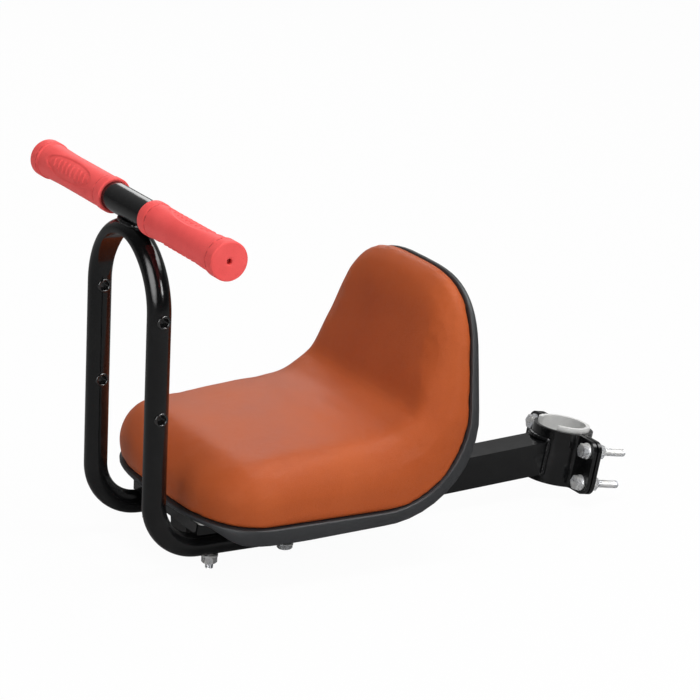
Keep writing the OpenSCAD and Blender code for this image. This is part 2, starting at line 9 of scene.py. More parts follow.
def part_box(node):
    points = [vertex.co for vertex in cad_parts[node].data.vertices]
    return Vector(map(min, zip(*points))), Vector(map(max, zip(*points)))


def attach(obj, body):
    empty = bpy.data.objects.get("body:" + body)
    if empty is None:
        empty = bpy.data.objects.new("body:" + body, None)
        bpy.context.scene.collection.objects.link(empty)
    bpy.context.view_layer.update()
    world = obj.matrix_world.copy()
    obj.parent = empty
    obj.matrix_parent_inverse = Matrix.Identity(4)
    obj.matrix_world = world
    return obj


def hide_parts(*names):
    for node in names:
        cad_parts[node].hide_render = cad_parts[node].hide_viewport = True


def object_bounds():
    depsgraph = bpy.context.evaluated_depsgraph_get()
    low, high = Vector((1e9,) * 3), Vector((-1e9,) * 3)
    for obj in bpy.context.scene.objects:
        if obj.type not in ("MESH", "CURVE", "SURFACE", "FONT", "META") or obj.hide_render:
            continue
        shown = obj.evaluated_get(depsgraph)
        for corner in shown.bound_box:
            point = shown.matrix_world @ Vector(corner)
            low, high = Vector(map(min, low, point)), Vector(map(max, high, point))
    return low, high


MM = 0.001
TAU = 2 * math.pi

# Sizes shared with the CAD source, in mm and degrees
POST_LEAN = 10
CLAMP_R = 23.25
EAR_BOLT_X = 37.25
BOLT_PITCH = 25.4
CLAMP_HEAD_SEAT = -2
CLAMP_NUT_SEAT = 8.7
CLAMP_BOLT_END = 34.2
BOLT_D = 6
HEX_AF = 10
HEAD_T = 4
NUT_T = 5
WASHER_T = 1.6
WASHER_D = 12.4
HOLE_D = 6.6
THREAD_PITCH = 1
THREAD_DEPTH = 0.45
BEAM_W = 25.4
BEAM_PITCH = 3
BAR_D = 21.3
BAR_LEN = 286
GRIP_LEN = 112
GRIP_D = 24.7
GRIP_FLANGE_D = 27.9
GRIP_FLANGE_LEN = 11
GRIP_END_T = 4
COLLAR_D = 25.9
HOOP_TUBE_D = 17.2
BUSH_BORE_D = 6.6
LEG_PITCH = 97
BAR_SEAT = 1.3

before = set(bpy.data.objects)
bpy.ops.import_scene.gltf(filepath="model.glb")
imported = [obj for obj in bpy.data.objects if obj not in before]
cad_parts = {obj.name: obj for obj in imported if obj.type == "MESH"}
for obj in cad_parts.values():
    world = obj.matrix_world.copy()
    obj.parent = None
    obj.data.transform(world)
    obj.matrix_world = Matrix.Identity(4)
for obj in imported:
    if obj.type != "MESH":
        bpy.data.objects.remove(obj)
cad_low, cad_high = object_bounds()


# Mesh building

class Surface:
    """Rings of points, in mm, joined into one mesh and set in place."""

    def __init__(self, place=None):
        self.place = place or Matrix.Identity(4)
        self.points = []
        self.faces = []

    def rings(self, rings, ends=True, closed=False):
        first = len(self.points)
        count = len(rings[0])
        for ring in rings:
            self.points += [self.place @ Vector(p) for p in ring]
        steps = len(rings) if closed else len(rings) - 1
        for r in range(steps):
            here = first + r * count
            there = first + (r + 1) % len(rings) * count
            for i in range(count):
                n = (i + 1) % count
                self.faces.append((here + i, here + n, there + n, there + i))
        if ends and not closed:
            self.faces.append(tuple(first + i for i in reversed(range(count))))
            last = first + (len(rings) - 1) * count
            self.faces.append(tuple(last + i for i in range(count)))

    def piece(self, name, material, slot, replaced=(), sharp=35):
        mesh = bpy.data.meshes.new(name)
        mesh.from_pydata([p * MM for p in self.points], [], self.faces)
        mesh.validate()
        smooth_by_angle(mesh, sharp)
        mesh.materials.append(material)
        piece = bpy.data.objects.new(name, mesh)
        bpy.context.scene.collection.objects.link(piece)
        return settle(piece, replaced)


def smooth_by_angle(mesh, sharp):
    mesh.polygons.foreach_set("use_smooth", [True] * len(mesh.polygons))
    mesh.set_sharp_from_angle(angle=math.radians(sharp))


def settle(piece, replaced=()):
    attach(piece, "root")
    if replaced:
        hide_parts(*replaced)
    return piece


def circle(radius, z, count=48):
    turns = [TAU * i / count for i in range(count)]
    return [(radius * math.cos(t), radius * math.sin(t), z) for t in turns]


def ease(q):
    q = min(max(q, 0), 1)
    return q * q * (3 - 2 * q)


# Places in the row frame, in mm

clamp_place = Matrix.Rotation(math.radians(-POST_LEAN), 4, "X")
bar_box = [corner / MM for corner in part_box("handlebar")]
BAR_Y = (bar_box[0].y + bar_box[1].y) / 2
BAR_Z = (bar_box[0].z + bar_box[1].z) / 2
bar_place = Matrix.Translation((0, BAR_Y, BAR_Z)) @ Matrix.Rotation(math.radians(90), 4, "Y")


def clamp_bolt_places():
    along_bolt = Matrix.Rotation(math.radians(-90), 4, "X")
    for side in (-1, 1):
        for level in (-1, 1):
            spot = Matrix.Translation((side * EAR_BOLT_X, 0, level * BOLT_PITCH / 2))
            yield clamp_place @ spot @ along_bolt


# Materials

def new_material(name):
    material = bpy.data.materials.new(name)
    material.use_nodes = True
    tree = material.node_tree
    return material, tree, tree.nodes["Principled BSDF"]


def node(tree, kind, inputs, **settings):
    made = tree.nodes.new(kind)
    for key, value in settings.items():
        setattr(made, key, value)
    for key, value in inputs.items():
        if isinstance(value, bpy.types.NodeSocket):
            tree.links.new(value, made.inputs[key])
        else:
            made.inputs[key].default_value = value
    return made


def in_place(tree):
    return node(tree, "ShaderNodeTexCoord", {}).outputs["Object"]


def clouds(tree, where, scale, detail=3.0, roughness=0.55):
    made = node(tree, "ShaderNodeTexNoise",
                {"Vector": where, "Scale": scale, "Detail": detail, "Roughness": roughness})
    return made.outputs["Fac"]


def cells(tree, where, scale, feature="DISTANCE_TO_EDGE"):
    made = node(tree, "ShaderNodeTexVoronoi", {"Vector": where, "Scale": scale}, feature=feature)
    return made.outputs["Distance"]


def spread(tree, value, low, high, start=0.0, end=1.0):
    made = node(tree, "ShaderNodeMapRange",
                {"Value": value, "From Min": start, "From Max": end, "To Min": low, "To Max": high})
    return made.outputs["Result"]


def mix(tree, share, first, second):
    made = tree.nodes.new("ShaderNodeMix")
    made.data_type = "RGBA"
    for socket, value in ((made.inputs[0], share), (made.inputs[6], first), (made.inputs[7], second)):
        if isinstance(value, bpy.types.NodeSocket):
            tree.links.new(value, socket)
        else:
            socket.default_value = value if isinstance(value, float) else (*value, 1)
    return made.outputs[2]


def bump(tree, height, depth_mm, under=None):
    inputs = {"Height": height, "Distance": depth_mm * MM, "Strength": 1.0}
    if under is not None:
        inputs["Normal"] = under
    return node(tree, "ShaderNodeBump", inputs).outputs["Normal"]


def dress(tree, shader, colour, roughness, normal):
    tree.links.new(colour, shader.inputs["Base Color"])
    tree.links.new(roughness, shader.inputs["Roughness"])
    tree.links.new(normal, shader.inputs["Normal"])


def leather():
    """Smooth coated leather: soft mottling, fine pebbles with creases, pores."""
    material, tree, shader = new_material("leather")
    where = in_place(tree)
    mottling = clouds(tree, where, 16, 5.0)
    pebbles = spread(tree, cells(tree, where, 1050), 0.0, 1.0, 0.0, 0.16)
    pores = clouds(tree, where, 2400, 2.0)
    creases = clouds(tree, where, 110, 6.0, 0.7)
    hide = mix(tree, spread(tree, mottling, 0.0, 1.0, 0.3, 0.7), (0.44, 0.082, 0.018), (0.51, 0.105, 0.026))
    grain = mix(tree, spread(tree, pebbles, 0.16, 0.0), hide, (0.2, 0.036, 0.008))
    roughness = spread(tree, mottling, 0.33, 0.44, 0.3, 0.7)
    relief = bump(tree, pores, 0.05)
    relief = bump(tree, pebbles, 0.09, relief)
    relief = bump(tree, creases, 0.3, relief)
    dress(tree, shader, grain, roughness, relief)
    shader.inputs["Specular IOR Level"].default_value = 0.26
    shader.inputs["Specular Tint"].default_value = (1, 0.74, 0.6, 1)
    return material


def gloss_paint(name="black_gloss_paint", lumps_mm=0.05, shine=0.45):
    """Powder coat: orange peel as deep as lumps_mm, dust and rubbed patches."""
    material, tree, shader = new_material(name)
    where = in_place(tree)
    peel = clouds(tree, where, 420, 2.0)
    wide_peel = clouds(tree, where, 90, 2.0)
    dust = spread(tree, clouds(tree, where, 1900, 2.0), 0.0, 1.0, 0.62, 0.78)
    rubbed = spread(tree, clouds(tree, where, 34, 6.0, 0.7), 0.0, 1.0, 0.5, 0.75)
    base = mix(tree, rubbed, (0.004, 0.0042, 0.0045), (0.009, 0.009, 0.0095))
    colour = mix(tree, dust, base, (0.018, 0.018, 0.0175))
    roughness = spread(tree, rubbed, 0.15, 0.27)
    relief = bump(tree, wide_peel, 0.12)
    relief = bump(tree, peel, lumps_mm, relief)
    dress(tree, shader, colour, roughness, relief)
    shader.inputs["Specular IOR Level"].default_value = shine
    return material


def moulded_plastic(name, base, grain_mm, roughness):
    """Moulded plastic with a fine spark-eroded grain and faint flow marks."""
    material, tree, shader = new_material(name)
    where = in_place(tree)
    grain = clouds(tree, where, 1500, 3.0, 0.65)
    flow = clouds(tree, where, 22, 4.0)
    scuffs = spread(tree, clouds(tree, where, 260, 8.0, 0.8), 0.0, 0.5, 0.58, 0.75)
    light = tuple(v * 1.5 + 0.004 for v in base)
    body = mix(tree, flow, base, light)
    colour = mix(tree, scuffs, body, tuple(v * 2.2 + 0.01 for v in base))
    relief = bump(tree, flow, 0.25)
    relief = bump(tree, grain, grain_mm, relief)
    dress(tree, shader, colour, spread(tree, grain, roughness - 0.07, roughness + 0.1), relief)
    shader.inputs["Specular IOR Level"].default_value = 0.4
    return material


def zinc():
    """Bright zinc plate: small spangles, a faint blue and yellow tint, tool marks."""
    material, tree, shader = new_material("zinc_plate")
    where = in_place(tree)
    spangle = cells(tree, where, 900, "F1")
    tint = clouds(tree, where, 120, 4.0)
    marks = clouds(tree, where, 2600, 3.0)
    plate = mix(tree, spread(tree, tint, 0.0, 1.0, 0.35, 0.65), (0.82, 0.84, 0.88), (0.9, 0.89, 0.86))
    dull = spread(tree, clouds(tree, where, 400, 5.0, 0.75), 0.0, 0.6, 0.52, 0.72)
    colour = mix(tree, dull, plate, (0.5, 0.5, 0.5))
    relief = bump(tree, marks, 0.03)
    relief = bump(tree, spangle, 0.03, relief)
    dress(tree, shader, colour, spread(tree, tint, 0.2, 0.38, 0.3, 0.7), relief)
    shader.inputs["Metallic"].default_value = 0.65
    return material


def rubber(name, base, pale, speck, roughness):
    """Moulded rubber: faint bloom, specks, a matt skin and painted shade in its grooves."""
    material, tree, shader = new_material(name)
    where = in_place(tree)
    bloom = clouds(tree, where, 45, 5.0, 0.6)
    specks = spread(tree, clouds(tree, where, 1300, 2.0), 0.0, 0.7, 0.6, 0.75)
    skin = clouds(tree, where, 1900, 4.0, 0.7)
    body = mix(tree, spread(tree, bloom, 0.0, 1.0, 0.3, 0.7), base, pale)
    open_sky = node(tree, "ShaderNodeAmbientOcclusion", {"Distance": 2.6 * MM}, samples=6).outputs["AO"]
    # Painted shade: ambient occlusion darkens the colour in grooves, ribs and crevices, down to 0.35 of the
    # base colour
    painted_groove_shade = spread(tree, open_sky, 1.0, 0.0, 0.35, 0.92)
    worn = mix(tree, specks, body, speck)
    colour = mix(tree, painted_groove_shade, worn, tuple(0.35 * v for v in base))
    relief = bump(tree, skin, 0.07)
    dress(tree, shader, colour, spread(tree, bloom, roughness - 0.06, roughness + 0.06), relief)
    shader.inputs["Specular IOR Level"].default_value = 0.35
    return material


leather_skin = leather()
paint = gloss_paint()
weld_paint = gloss_paint("painted_weld", 0.16)
lip_paint = gloss_paint("rubbed_lip_paint", 0.02, 1.0)
shell_plastic = moulded_plastic("shell_plastic", (0.022, 0.023, 0.025), 0.07, 0.46)
plug_plastic = moulded_plastic("plug_plastic", (0.014, 0.014, 0.014), 0.05, 0.5)
plate = zinc()
grey_rubber = rubber("grey_rubber", (0.68, 0.68, 0.67), (0.8, 0.8, 0.78), (0.46, 0.46, 0.45), 0.7)
red_rubber = rubber("red_rubber", (0.88, 0.082, 0.078), (0.96, 0.108, 0.103), (0.7, 0.05, 0.05), 0.55)


# CAD nodes that keep their shape get their real finish

def finish_nodes(material, *names):
    for name in names:
        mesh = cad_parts[name].data
        mesh.materials.clear()
        mesh.materials.append(material)


finish_nodes(paint, "main_beam", "clamp_front", "clamp_rear", "guard_hoop", "hoop_bushes", "handlebar",
             "front_crossbar", "rear_crossbar")
finish_nodes(weld_paint, "beam_weld", "bar_weld")
finish_nodes(shell_plastic, "seat_shell")
finish_nodes(plug_plastic, "beam_plug", "leg_plugs", "leg_spacers")
finish_nodes(plate, "clamp_bolts", "clamp_washers", "clamp_nuts", "seat_bolts", "seat_washers", "seat_nuts")
finish_nodes(grey_rubber, "post_liner", "packing_strip", "rear_packing")
finish_nodes(red_rubber, "left_grip", "right_grip")
finish_nodes(leather_skin, "seat_pad")


# Leather pad: rings over seat and back, remeshed, blown up by a cloth run, smoothed, set on the shell

PAD_GROWN = 0.7
PAD_VOXEL = 3.6
PAD_CAP = 1.6
PAD_PRESSURE = 4.0
PAD_FRAMES = 20
RESTS_IF_DOWN = 0.55
RESTS_IF_REAR = 0.62

# The pad's own shape: s runs over the seat, round the bend and up the back. It follows the CAD source,
# but for a rounder hollow where the seat turns into the back and a small reach over the top rim
SEAT_FRONT_Y = -344
PAN_TOP_Z = 15
SEAT_W = 204
BACK_W = 146
SEAT_FLAT = 133
BACK_FLAT = 93
BEND_R = 68.5
BACK_LEAN = 7.1
TURN_END = math.radians(90 - BACK_LEAN)
BEND_LEN = BEND_R * TURN_END
BEND_END = SEAT_FLAT + BEND_LEN
SEAT_LEN = BEND_END + BACK_FLAT
FRONT_CORNER = 50
FRONT_POWER = 2.8
TOP_CORNER = 56
TOP_POWER = 3.3
PAD_GAP = 0.3
PAD_SIDE_ROUND = 21.6
PAD_SHOULDER = 2.35
PAD_END_ROUND = 30
PAD_BULGE = 3.2
PAD_TOP_OVER = 2.4
PAD_ROWS = 110
PAD_ACROSS = 64
PAD_END_SKIP = 0.012
HOLLOW_R = 50
HOLLOW_SEAT = 46
HOLLOW_BACK = 27
HOLLOW_START = 122
HOLLOW_START_LEN = 10
HOLLOW_END = 200
HOLLOW_END_LEN = 45
WIDTHS = ((0, SEAT_W / 2), (SEAT_FLAT, SEAT_W / 2), (BEND_END, 0.485 * SEAT_W), (SEAT_LEN, BACK_W / 2))
RISES = ((0, 35), (100, 43.5), (SEAT_FLAT, 46), (BEND_END, 31), (SEAT_LEN, 14))
CROWNS = ((0, 6), (SEAT_FLAT, 5), (BEND_END - 10, 0.5), (SEAT_LEN - 60, 0.5), (SEAT_LEN, 4))


def between(s, stops):
    """Straight-line value at s, held beyond the first and last stop."""
    if s <= stops[0][0]:
        return stops[0][1]
    for (a, low), (b, high) in zip(stops, stops[1:]):
        if s <= b:
            return low + (high - low) * (s - a) / (b - a)
    return stops[-1][1]


def soft_between(s, stops):
    """The same with its corners rounded, by a mean over 48 mm."""
    return sum(between(s + off, stops) for off in (-24, -12, 0, 12, 24)) / 5


def on_base(x, s, up):
    """A point x off the middle line and up above the shell's upper face, at s along it."""
    turn = min(max(s - SEAT_FLAT, 0), BEND_LEN) / BEND_R
    past = max(s - BEND_END, 0)
    y = SEAT_FRONT_Y + min(s, SEAT_FLAT) + BEND_R * math.sin(turn) + past * math.cos(TURN_END)
    z = PAN_TOP_Z + BEND_R * (1 - math.cos(turn)) + past * math.sin(TURN_END)
    return x, y - up * math.sin(turn), z + up * math.cos(turn)


def super_round(q, power):
    """Falls from 1 at q 0 to 0 at q 1, like the corner of a rounded rectangle."""
    return (1 - min(max(q, 0), 1) ** power) ** (1 / power)


def pad_half_width(s):
    front = super_round((FRONT_CORNER - s) / FRONT_CORNER, FRONT_POWER)
    return between(s, WIDTHS) * front * super_round((s - SEAT_LEN + TOP_CORNER) / TOP_CORNER, TOP_POWER)


def shoulder(q, power):
    """0 at the edge, 1 past the shoulder; a power above 2 makes the shoulder fuller."""
    return (1 - (1 - min(max(q, 0), 1)) ** power) ** (1 / power)


def hollow_rise(s):
    """Height over the shell at s of the round hollow where the seat turns into the back."""
    _, back_y, back_z = on_base(0, BEND_END, 0)
    centre_z = PAN_TOP_Z + HOLLOW_SEAT + HOLLOW_R
    reach = HOLLOW_BACK + HOLLOW_R - math.cos(TURN_END) * (centre_z - back_z)
    centre = Vector((0, back_y - reach / math.sin(TURN_END), centre_z))
    foot = Vector(on_base(0, s, 0))
    way = Vector(on_base(0, s, 1)) - foot
    near = way.dot(centre - foot)
    return near - math.sqrt(max(0, HOLLOW_R ** 2 - (centre - foot).length_squared + near ** 2))


def pad_rise(s):
    """Rise of the pad at s, led over into the round hollow and out of it."""
    share = ease((s - HOLLOW_START) / HOLLOW_START_LEN) * (1 - ease((s - HOLLOW_END) / HOLLOW_END_LEN))
    plain = soft_between(s, RISES)
    return plain + share * (hollow_rise(s) - plain) if share > 0 else plain


def pad_point(s, u):
    """A point of the pad's upper side; u runs from -1 to 1 across it."""
    half = pad_half_width(s)
    side = shoulder(half * (1 - abs(u)) / PAD_SIDE_ROUND, PAD_SHOULDER)
    edge = side * shoulder(min(s, SEAT_LEN - s) / PAD_END_ROUND, 2)
    swell = PAD_BULGE * math.sin(math.pi * edge)
    front = max(0, 1 - s / FRONT_CORNER)
    top = max(0, 1 - (SEAT_LEN - s) / TOP_CORNER)
    up = PAD_GAP + edge * (pad_rise(s) + soft_between(s, CROWNS) * (1 - u * u))
    along = s + swell * (top - front) + PAD_TOP_OVER * top * edge
    return on_base(half * u * (1 + 2 * swell / SEAT_W), along, up)


def pad_form():
    """The pad as closed rings across the seat, from its front edge to its top edge."""
    shares = [math.sin(math.pi / 2 * (2 * j / PAD_ACROSS - 1)) for j in range(PAD_ACROSS + 1)]
    surface = Surface()
    rings = []
    for i in range(PAD_ROWS + 1):
        turn = math.pi * (PAD_END_SKIP + (1 - 2 * PAD_END_SKIP) * i / PAD_ROWS)
        s = SEAT_LEN * (1 - math.cos(turn)) / 2
        half = pad_half_width(s)
        ring = [pad_point(s, u) for u in shares]
        ring += [on_base(half * (1 - 2 * j / PAD_ACROSS), s, PAD_GAP) for j in range(1, PAD_ACROSS)]
        rings.append(ring)
    surface.rings(rings)
    return surface


def copy_of(name, new_name):
    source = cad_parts[name]
    piece = bpy.data.objects.new(new_name, source.data.copy())
    bpy.context.scene.collection.objects.link(piece)
    return piece


def apply_modifiers(piece):
    graph = bpy.context.evaluated_depsgraph_get()
    mesh = bpy.data.meshes.new_from_object(piece.evaluated_get(graph))
    piece.modifiers.clear()
    piece.data = mesh


def add_modifier(piece, kind, **settings):
    made = piece.modifiers.new(kind.lower(), kind)
    for key, value in settings.items():
        setattr(made, key, value)
    return made


def capped(start, end, cap):
    """From start towards end, by no more than cap."""
    move = end - start
    if move.length > cap:
        move *= cap / move.length
    return start + move


def blow_up(piece, held):
    """Runs cloth under pressure, keeps the move of each vertex below PAD_CAP and leaves the held ones."""
    group = piece.vertex_groups.new(name="held")
    group.add(held, 1.0, "REPLACE")
    start = [v.co.copy() for v in piece.data.vertices]
    cloth = piece.modifiers.new("cloth", "CLOTH")
    cloth.settings.use_pressure = True
    cloth.settings.uniform_pressure_force = PAD_PRESSURE
    cloth.settings.effector_weights.gravity = 0
    cloth.settings.vertex_group_mass = "held"
    cloth.point_cache.frame_start = 1
    cloth.point_cache.frame_end = PAD_FRAMES
    for number in range(1, PAD_FRAMES + 1):
        bpy.context.scene.frame_set(number)
    graph = bpy.context.evaluated_depsgraph_get()
    end = [v.co.copy() for v in piece.evaluated_get(graph).data.vertices]
    piece.modifiers.clear()
    bpy.context.scene.frame_set(1)
    for vertex, a, b in zip(piece.data.vertices, start, end):
        vertex.co = capped(a, b, PAD_CAP * MM)
    piece.vertex_groups.clear()


def height_over_shell(point):
    """Height over the shell's upper face, and the way up from it there, in mm."""
    bend_y = SEAT_FRONT_Y + SEAT_FLAT
    if point.y <= bend_y:
        return point.z - PAN_TOP_Z, Vector((0, 0, 1))
    arm = Vector((0, point.y - bend_y, point.z - PAN_TOP_Z - BEND_R))
    turn = math.atan2(arm.y, -arm.z)
    if 0 <= turn <= TURN_END:
        return BEND_R - arm.length, -arm.normalized()
    up = Vector((0, -math.sin(TURN_END), math.cos(TURN_END)))
    return (point - Vector(on_base(point.x, BEND_END, 0))).dot(up), up


def lift_off_shell(mesh):
    """Moves what sank into the shell back to its gap."""
    for vertex in mesh.vertices:
        height, up = height_over_shell(vertex.co / MM)
        if height < PAD_GAP:
            vertex.co += up * (PAD_GAP - height) * MM


def faces_shell(vertex):
    """True on the underside of the pad and behind its back, which rest on the shell."""
    down = -vertex.normal.z
    rear = vertex.normal.y
    return down > RESTS_IF_DOWN or rear > RESTS_IF_REAR


def leather_pad():
    pad = pad_form().piece("leather_pad", leather_skin, "pad_leather", ["seat_pad"])
    add_modifier(pad, "DISPLACE", strength=PAD_GROWN * MM, mid_level=0.0)
    add_modifier(pad, "REMESH", mode="VOXEL", voxel_size=PAD_VOXEL * MM, use_smooth_shade=True)
    apply_modifiers(pad)
    blow_up(pad, [v.index for v in pad.data.vertices if faces_shell(v)])
    add_modifier(pad, "SMOOTH", factor=0.5, iterations=3)
    add_modifier(pad, "SUBSURF", levels=1, render_levels=1)
    apply_modifiers(pad)
    lift_off_shell(pad.data)
    smooth_by_angle(pad.data, 80)


# Shell: the CAD moulding with a smooth skin

def shell_moulding():
    shell = copy_of("seat_shell", "shell_moulding")
    add_modifier(shell, "WELD", merge_threshold=0.005 * MM)
    apply_modifiers(shell)
    smooth_by_angle(shell.data, 38)
    shell.data.materials.clear()
    shell.data.materials.append(shell_plastic)
    settle(shell, ["seat_shell"])


# Grips: turned rubber with a dashed groove at each end, a flange and two shallow panels

GRIP_TURNS = 144
GROOVE_DEPTH = 1.6
GROOVE_HALF = 0.9
FIRST_GROOVE = 10.5
LAST_GROOVE_ON_FLANGE = 1.6
DASHES = 12
DASH_START = 0.12
DASH_END = 0.82
DASH_EASE = 0.1
BETWEEN_DASHES = 0.3
PANEL_DEPTH = 0.8
PANEL_HALF_ANGLE = 42
PANEL_START = 20
PANEL_END = 92
PANEL_EDGE_ANGLE = 4.5
RIB_PITCH = 7
RIB_HEIGHT = 0.75
RIB_SLANT = 160
RIB_HALF = 0.26
GRIP_STEP = 0.42
GRIP_CORNER = 1.3
COLLAR_LEN = 7
COLLAR_EASE = 5
END_SWELL_LEN = 34
FLANGE_RISE_LEN = 1.2
VENT_R = 2.0
VENT_DEPTH = 3.8
LEFT_TWIST = 160
RIGHT_TWIST = 240


def grip_profile():
    """(radius, distance from the inner end) from the bore, over the outside, to the end face."""
    tube_r = BAR_D / 2 + 0.05
    collar_r = COLLAR_D / 2
    body_r = GRIP_D / 2
    wide_r = GRIP_FLANGE_D / 2
    end = GRIP_LEN + GRIP_END_T
    flange = end - GRIP_FLANGE_LEN
    corner = GRIP_CORNER
    profile = [(tube_r, 0.0)]
    profile += [(collar_r - corner + corner * math.sin(t), corner - corner * math.cos(t))
                for t in (TAU / 4 * k / 5 for k in range(6))]
    along = 2.0
    while along < flange - 1.5:
        start = ease((along - COLLAR_LEN) / COLLAR_EASE)
        swell = ease((along - flange + END_SWELL_LEN) / END_SWELL_LEN)
        radius = collar_r + (body_r - collar_r) * start + (collar_r - body_r) * swell
        profile.append((radius, along))
        along += GRIP_STEP
    profile += [(collar_r + (wide_r - collar_r) * ease(k / 5), flange - 1 + FLANGE_RISE_LEN * k / 5)
                for k in range(6)]
    flat = flange + FLANGE_RISE_LEN / 2
    profile += [(wide_r, flat + (end - corner - flat) * k / 26) for k in range(27)]
    profile += [(wide_r - corner + corner * math.cos(t), end - corner + corner * math.sin(t))
                for t in (TAU / 4 * k / 6 for k in range(1, 7))]
    vent_lip = VENT_R + 0.6
    profile += [(wide_r - corner - (wide_r - corner - vent_lip) * k / 8, end) for k in range(1, 9)]
    profile += [(VENT_R, end - 0.5), (VENT_R, end - VENT_DEPTH)]
    return profile


def dashed(angle):
    """1 in a dash of the groove, 0 between two dashes."""
    phase = (angle / TAU * DASHES) % 1
    return ease((phase - DASH_START) / DASH_EASE) * ease((DASH_END - phase) / DASH_EASE)


def ring_groove(along, centre, angle):
    """Depth of the groove whose middle is at centre, full in its dashes and shallow between them."""
    depth = ease(1 - abs(along - centre) / GROOVE_HALF)
    return GROOVE_DEPTH * depth * (BETWEEN_DASHES + 0.7 * dashed(angle))


def panel_cut(along, angle, twist):
    """Two long lens-shaped panels with low cross ribs, sunk into the body."""
    middle = (PANEL_START + PANEL_END) / 2
    half = (PANEL_END - PANEL_START) / 2
    reach = 1 - ((along - middle) / half) ** 2
    if reach <= 0:
        return 0.0
    off = (math.degrees(angle) - twist + 90) % 180 - 90
    width = PANEL_HALF_ANGLE * math.sqrt(reach)
    inside = ease((width - abs(off)) / PANEL_EDGE_ANGLE)
    rib_phase = ((along - middle) / RIB_PITCH + off / RIB_SLANT) % 1
    rib = ease(1 - abs(rib_phase - 0.5) / RIB_HALF) * ease((width * 0.62 - abs(off)) / 5) * ease(reach * 2.2)
    return PANEL_DEPTH * inside - RIB_HEIGHT * rib * inside


def grip(name, side, twist):
    """One grip, turned round the bar; twist is the angle of its panels."""
    surface = Surface(bar_place @ Matrix.Scale(side, 4, (0, 0, 1)))
    start = BAR_LEN / 2 - GRIP_LEN
    last_groove = GRIP_LEN + GRIP_END_T - GRIP_FLANGE_LEN + LAST_GROOVE_ON_FLANGE
    rings = []
    for radius, along in grip_profile():
        ring = []
        outside = radius > BAR_D / 2 + 1
        for i in range(GRIP_TURNS):
            angle = TAU * i / GRIP_TURNS
            r = radius
            if outside:
                r -= ring_groove(along, FIRST_GROOVE, angle) + ring_groove(along, last_groove, angle)
                r -= panel_cut(along, angle, twist)
            ring.append((r * math.cos(angle), r * math.sin(angle), start + along))
        rings.append(ring)
    rings.append(circle(0.4, start + GRIP_LEN + GRIP_END_T - VENT_DEPTH, GRIP_TURNS))
    if side > 0:
        rings.reverse()
    surface.rings(rings, ends=False)
    surface.piece(name + "_rubber", red_rubber, "grip_rubber", [name], sharp=60)


# Fasteners and bushes: chamfered hexagons, rounded washers, rods with a real helix, soft lips

HEX_POINTS = 72
ROD_POINTS = 30
STEPS_PER_PITCH = 7
TIP_LEN = 1.2
TIP_DROP = 0.5
TIP_FACE_DROP = 0.9
HEX_FACE = 0.95
BUSH_LIP = 0.75


def hex_radius(i, half_flat):
    turn = 360 * i / HEX_POINTS
    off = (turn % 60) - 30
    return half_flat / math.cos(math.radians(off))


def hex_ring(z, chamfer_sign):
    """A ring of the hexagon; its corners drop along a 30 degree cone where it is chamfered."""
    half_flat = HEX_AF / 2
    ring = []
    for i in range(HEX_POINTS):
        radius = hex_radius(i, half_flat)
        drop = 0.12 + (radius - half_flat) * math.tan(math.radians(30))
        angle = TAU * i / HEX_POINTS
        ring.append((radius * math.cos(angle), radius * math.sin(angle), z - chamfer_sign * drop))
    return ring


def hex_head(surface, low, high):
    face_r = HEX_AF / 2 * HEX_FACE
    rings = [circle(face_r, low, HEX_POINTS), circle(HEX_AF / 2 * 0.97, low + 0.15, HEX_POINTS),
             hex_ring(low + 0.1, -0.15), hex_ring(high, 1), circle(face_r, high, HEX_POINTS),
             circle(face_r * 0.8, high - 0.05, HEX_POINTS), circle(face_r * 0.7, high - 0.22, HEX_POINTS)]
    surface.rings(rings)


def hex_nut(surface, low, high):
    face_r = HEX_AF / 2 * HEX_FACE
    bore_r = BOLT_D / 2 + 0.05
    rings = [circle(bore_r, low + 0.4, HEX_POINTS), circle(bore_r + 0.35, low, HEX_POINTS),
             circle(face_r, low, HEX_POINTS), hex_ring(low, -1), hex_ring(high, 1),
             circle(face_r, high, HEX_POINTS), circle(bore_r + 0.45, high, HEX_POINTS),
             circle(bore_r, high - 0.45, HEX_POINTS)]
    surface.rings(rings, closed=True)


def washer(surface, low):
    outer = WASHER_D / 2
    inner = HOLE_D / 2
    high = low + WASHER_T
    soft = 0.3
    rings = [circle(inner, low + soft, HEX_POINTS), circle(inner + soft, low, HEX_POINTS),
             circle(outer - soft, low, HEX_POINTS), circle(outer, low + soft, HEX_POINTS),
             circle(outer, high - soft, HEX_POINTS), circle(outer - soft, high, HEX_POINTS),
             circle(inner + soft, high, HEX_POINTS), circle(inner, high - soft, HEX_POINTS)]
    surface.rings(rings, closed=True)


def threaded_rod(surface, low, high, thread_from):
    """A rod from low to high; above thread_from its surface follows one helix."""
    rings = [circle(BOLT_D / 2, low, ROD_POINTS)]
    z = thread_from
    while z < high:
        ring = []
        tip = ease((z - high + TIP_LEN) / TIP_LEN) * TIP_DROP
        root = ease((z - thread_from) / THREAD_PITCH)
        for i in range(ROD_POINTS):
            angle = TAU * i / ROD_POINTS
            phase = (z / THREAD_PITCH - i / ROD_POINTS) % 1
            radius = BOLT_D / 2 - THREAD_DEPTH * abs(2 * phase - 1) * root - tip
            ring.append((radius * math.cos(angle), radius * math.sin(angle), z))
        rings.append(ring)
        z += THREAD_PITCH / STEPS_PER_PITCH
    rings.append(circle(BOLT_D / 2 - TIP_FACE_DROP, high, ROD_POINTS))
    surface.rings(rings)


